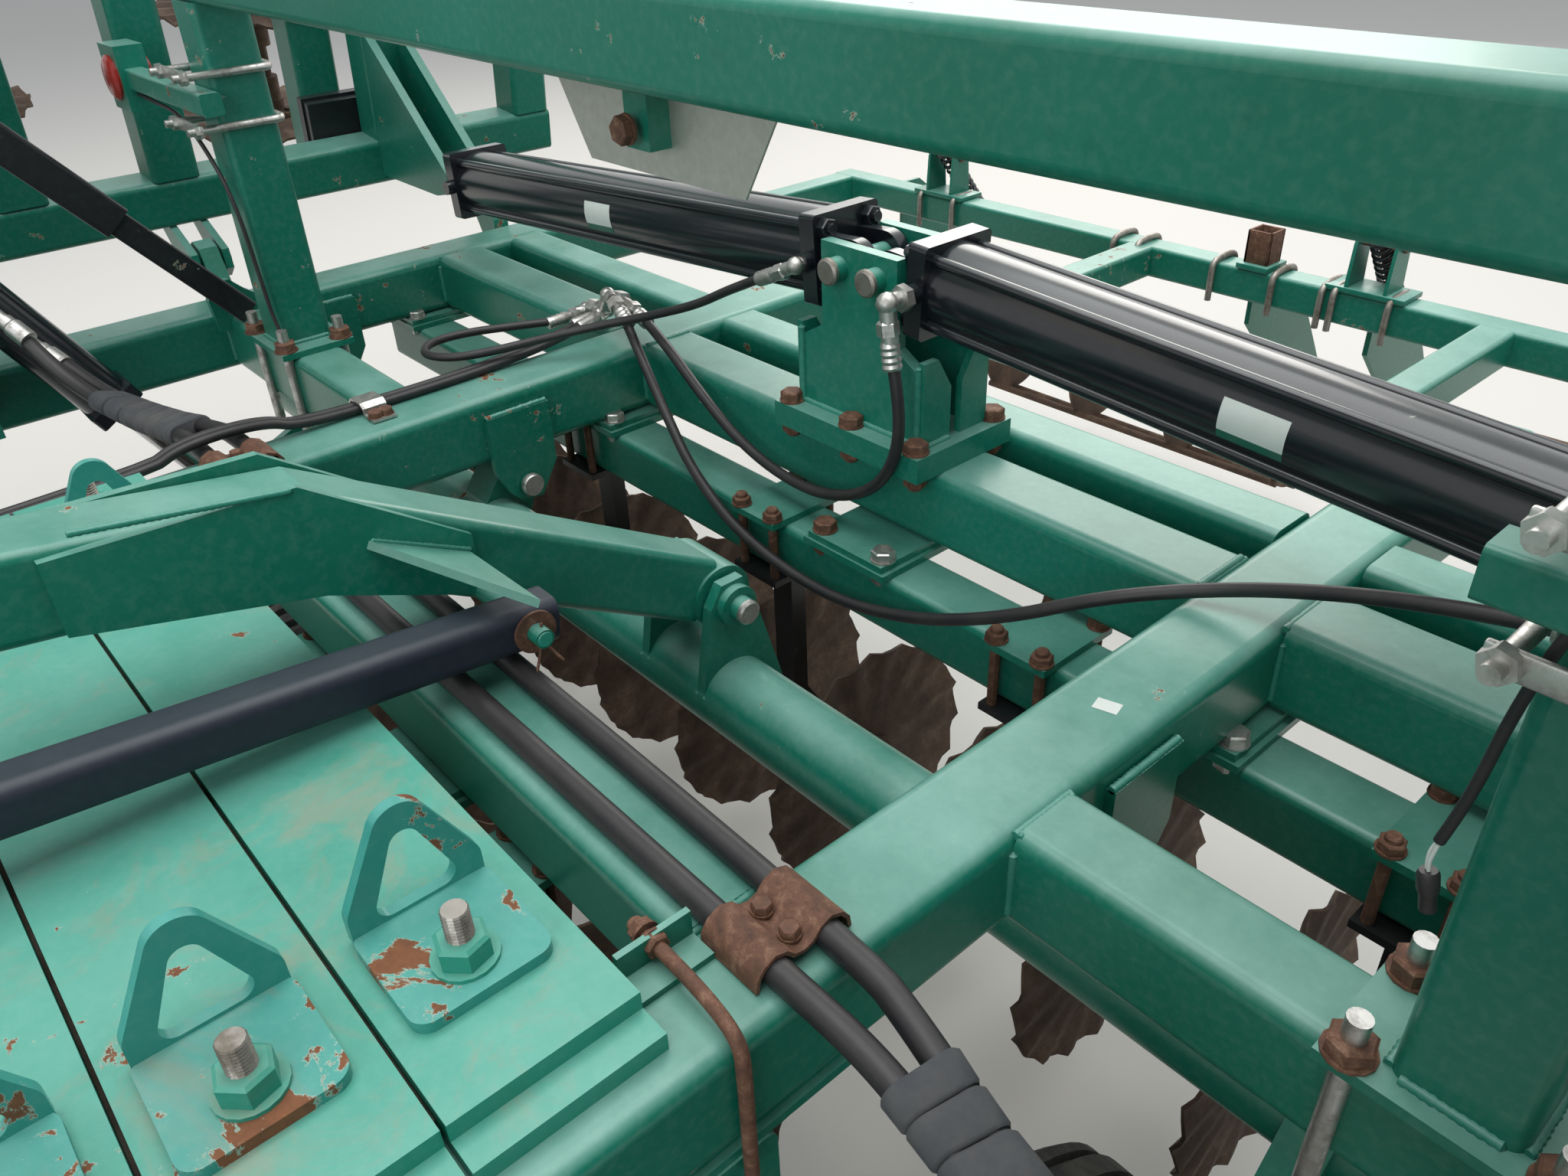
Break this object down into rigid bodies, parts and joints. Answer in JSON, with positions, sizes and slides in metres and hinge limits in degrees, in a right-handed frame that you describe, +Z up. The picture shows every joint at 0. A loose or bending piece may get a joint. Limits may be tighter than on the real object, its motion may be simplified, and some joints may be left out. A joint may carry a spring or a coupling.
{
  "type": "vertical tillage tool",
  "caption": "Folding vertical tillage tool with wavy disc gangs, wings folded up, twin transport wheels on a rockshaft, weight slabs, level link and drawbar.",
  "frame": {"origin": "on the ground under the middle of the whole machine as parked", "axes": "+Y points to the machine's rear and the hitch is at the -Y end, +X is the machine's left, +Z is up"},
  "size_m": [5.276, 7.18, 3.683],
  "materials": {
    "green_paint": "faded gloss",
    "black_paint": "satin",
    "rim_paint": "satin",
    "bare_steel": "worn",
    "rusty_steel": "rusty",
    "rod_chrome": "polished",
    "sign_aluminium": "dull",
    "hose_rubber": "satin",
    "tyre_rubber": "matt"
  },
  "bodies": {
    "frame": {"frame_rails": "green_paint", "cross_tubes": "green_paint", "rock_hangers": "green_paint", "hinge_ears": "green_paint", "fold_tower": "green_paint", "portal_frame": "green_paint", "sign_plate": "sign_aluminium", "weight_slabs": "green_paint", "slab_eyes": "green_paint", "gang_bars": "green_paint", "gang_mounts": "black_paint", "lift_masts": "green_paint", "mast_braces": "black_paint", "rear_frame": "green_paint", "reel_arms": "green_paint", "hose_loop": "hose_rubber", "hose_long": "hose_rubber", "hose_far": "hose_rubber", "clamped_hoses": "hose_rubber"},
    "rockshaft": {"rockshaft": "green_paint"},
    "level_link": {"level_link": "green_paint", "lock_bar": "black_paint"},
    "tongue": {"tongue": "green_paint", "tongue_sides": "green_paint", "drawbar": "green_paint", "jack_tube": "black_paint"},
    "jack_leg": {"jack_leg": "bare_steel"},
    "wheels_left": {"tyres_left": "tyre_rubber", "rims_left": "rim_paint"},
    "wing_left": {"wing_rails_left": "green_paint", "wing_cross_tubes_left": "green_paint", "wing_hinges_left": "green_paint", "wing_gang_bars_left": "green_paint", "wing_gang_mounts_left": "black_paint"},
    "wing_gang_front_left": {"wing_disc_gang_front_left": "rusty_steel"},
    "wing_gang_rear_left": {"wing_disc_gang_rear_left": "rusty_steel"},
    "fold_barrel_left": {"fold_barrel_left": "black_paint"},
    "fold_rod_left": {"fold_rod_left": "rod_chrome"},
    "lift_barrel_left": {"lift_barrel_left": "black_paint"},
    "lift_rod_left": {"lift_rod_left": "rod_chrome"},
    "reel_left": {"reel_left": "rusty_steel"},
    "gang_rear_left": {"disc_gang_rear_left": "rusty_steel"},
    "gang_outer_left": {"disc_gang_outer_left": "rusty_steel"},
    "wheels_right": {"tyres_right": "tyre_rubber", "rims_right": "rim_paint"},
    "wing_right": {"wing_rails_right": "green_paint", "wing_cross_tubes_right": "green_paint", "wing_hinges_right": "green_paint", "wing_gang_bars_right": "green_paint", "wing_gang_mounts_right": "black_paint"},
    "wing_gang_front_right": {"wing_disc_gang_front_right": "rusty_steel"},
    "wing_gang_rear_right": {"wing_disc_gang_rear_right": "rusty_steel"},
    "fold_barrel_right": {"fold_barrel_right": "black_paint"},
    "fold_rod_right": {"fold_rod_right": "rod_chrome"},
    "lift_barrel_right": {"lift_barrel_right": "black_paint"},
    "lift_rod_right": {"lift_rod_right": "rod_chrome"},
    "reel_right": {"reel_right": "rusty_steel"},
    "gang_rear_right": {"disc_gang_rear_right": "rusty_steel"},
    "gang_outer_right": {"disc_gang_outer_right": "rusty_steel"},
    "gang_front": {"disc_gang_front": "rusty_steel"}
  },
  "joints": [
    {"name": "lift", "type": "hinge", "parent": "frame", "child": "rockshaft", "pos_m": [0, 1.065, 0.986], "axis": [1, 0, 0], "range_deg": [-30.7, 0]},
    {"name": "level_link_pivot", "type": "hinge", "parent": "rockshaft", "child": "level_link", "pos_m": [0, 1.014, 1.057], "axis": [1, 0, 0], "range_deg": [-1, 33]},
    {"name": "tongue_pivot", "type": "hinge", "parent": "frame", "child": "tongue", "pos_m": [0, -0.99, 1.106], "axis": [1, 0, 0], "range_deg": [-6, 1]},
    {"name": "jack_slide", "type": "slide", "parent": "tongue", "child": "jack_leg", "axis": [0, 0, 1], "range_m": [0, 0.32]},
    {"name": "wing_fold_left", "type": "hinge", "parent": "frame", "child": "wing_left", "pos_m": [1.64, 1.42, 1.23], "axis": [0, 1, 0], "range_deg": [0, 97]},
    {"name": "fold_barrel_pivot_left", "type": "hinge", "parent": "frame", "child": "fold_barrel_left", "pos_m": [0.04, 1.42, 1.45], "axis": [0, 1, 0], "range_deg": [-8, 2]},
    {"name": "fold_rod_slide_left", "type": "slide", "parent": "fold_barrel_left", "child": "fold_rod_left", "axis": [0.9975, 0, -0.0701], "range_m": [-0.002, 0.42]},
    {"name": "lift_barrel_pivot_left", "type": "hinge", "parent": "frame", "child": "lift_barrel_left", "pos_m": [1.375, 0.307, 1.497], "axis": [1, 0, 0], "range_deg": [-1, 6]},
    {"name": "lift_rod_slide_left", "type": "slide", "parent": "lift_barrel_left", "child": "lift_rod_left", "axis": [0, 0.5164, -0.8563], "range_m": [-0.205, 0.002]},
    {"name": "wheel_spin_left", "type": "hinge", "parent": "rockshaft", "child": "wheels_left", "pos_m": [1.043, 0.661, 0.385], "axis": [1, 0, 0], "continuous": true},
    {"name": "gang_rear_spin_left", "type": "hinge", "parent": "frame", "child": "gang_rear_left", "pos_m": [0.7, 1.375, 0.48], "axis": [1, 0, 0], "continuous": true},
    {"name": "gang_outer_spin_left", "type": "hinge", "parent": "frame", "child": "gang_outer_left", "pos_m": [1.132, -0.265, 0.48], "axis": [1, 0, 0], "continuous": true},
    {"name": "reel_spin_left", "type": "hinge", "parent": "frame", "child": "reel_left", "pos_m": [0.745, 3.4, 0.43], "axis": [1, 0, 0], "continuous": true},
    {"name": "wing_gang_front_spin_left", "type": "hinge", "parent": "wing_left", "child": "wing_gang_front_left", "pos_m": [2.23939, 0.54, 2.50253], "axis": [-0.1219, 0, 0.9925], "continuous": true},
    {"name": "wing_gang_rear_spin_left", "type": "hinge", "parent": "wing_left", "child": "wing_gang_rear_left", "pos_m": [2.23939, 1.375, 2.50253], "axis": [-0.1219, 0, 0.9925], "continuous": true},
    {"name": "wing_fold_right", "type": "hinge", "parent": "frame", "child": "wing_right", "pos_m": [-1.64, 1.42, 1.23], "axis": [0, -1, 0], "range_deg": [0, 97]},
    {"name": "fold_barrel_pivot_right", "type": "hinge", "parent": "frame", "child": "fold_barrel_right", "pos_m": [-0.04, 1.42, 1.45], "axis": [0, -1, 0], "range_deg": [-8, 2]},
    {"name": "fold_rod_slide_right", "type": "slide", "parent": "fold_barrel_right", "child": "fold_rod_right", "axis": [-0.9975, 0, -0.0701], "range_m": [-0.002, 0.42]},
    {"name": "lift_barrel_pivot_right", "type": "hinge", "parent": "frame", "child": "lift_barrel_right", "pos_m": [-1.375, 0.307, 1.497], "axis": [1, 0, 0], "range_deg": [-1, 6]},
    {"name": "lift_rod_slide_right", "type": "slide", "parent": "lift_barrel_right", "child": "lift_rod_right", "axis": [0, 0.5164, -0.8563], "range_m": [-0.205, 0.002]},
    {"name": "wheel_spin_right", "type": "hinge", "parent": "rockshaft", "child": "wheels_right", "pos_m": [-1.043, 0.661, 0.385], "axis": [1, 0, 0], "continuous": true},
    {"name": "gang_rear_spin_right", "type": "hinge", "parent": "frame", "child": "gang_rear_right", "pos_m": [-0.7, 1.375, 0.48], "axis": [1, 0, 0], "continuous": true},
    {"name": "gang_outer_spin_right", "type": "hinge", "parent": "frame", "child": "gang_outer_right", "pos_m": [-1.132, -0.265, 0.48], "axis": [1, 0, 0], "continuous": true},
    {"name": "reel_spin_right", "type": "hinge", "parent": "frame", "child": "reel_right", "pos_m": [-0.745, 3.4, 0.43], "axis": [1, 0, 0], "continuous": true},
    {"name": "wing_gang_front_spin_right", "type": "hinge", "parent": "wing_right", "child": "wing_gang_front_right", "pos_m": [-2.23939, 0.54, 2.50253], "axis": [0.1219, 0, 0.9925], "continuous": true},
    {"name": "wing_gang_rear_spin_right", "type": "hinge", "parent": "wing_right", "child": "wing_gang_rear_right", "pos_m": [-2.23939, 1.375, 2.50253], "axis": [0.1219, 0, 0.9925], "continuous": true},
    {"name": "gang_front_spin", "type": "hinge", "parent": "frame", "child": "gang_front", "pos_m": [0, 0.54, 0.48], "axis": [1, 0, 0], "continuous": true}
  ],
  "couplings": [
    {"joint": "level_link_pivot", "follows": "lift", "ratio": -1.015},
    {"joint": "tongue_pivot", "follows": "lift", "ratio": 0.149},
    {"joint": "fold_barrel_pivot_left", "follows": "wing_fold_left", "ratio": -0.0465},
    {"joint": "fold_rod_slide_left", "follows": "wing_fold_left", "m_per_rad": 0.2385},
    {"joint": "lift_barrel_pivot_left", "follows": "lift", "ratio": -0.124},
    {"joint": "lift_rod_slide_left", "follows": "lift", "m_per_rad": 0.3695},
    {"joint": "fold_barrel_pivot_right", "follows": "wing_fold_right", "ratio": -0.0465},
    {"joint": "fold_rod_slide_right", "follows": "wing_fold_right", "m_per_rad": 0.2385},
    {"joint": "lift_barrel_pivot_right", "follows": "lift", "ratio": -0.124},
    {"joint": "lift_rod_slide_right", "follows": "lift", "m_per_rad": 0.3695}
  ]
}
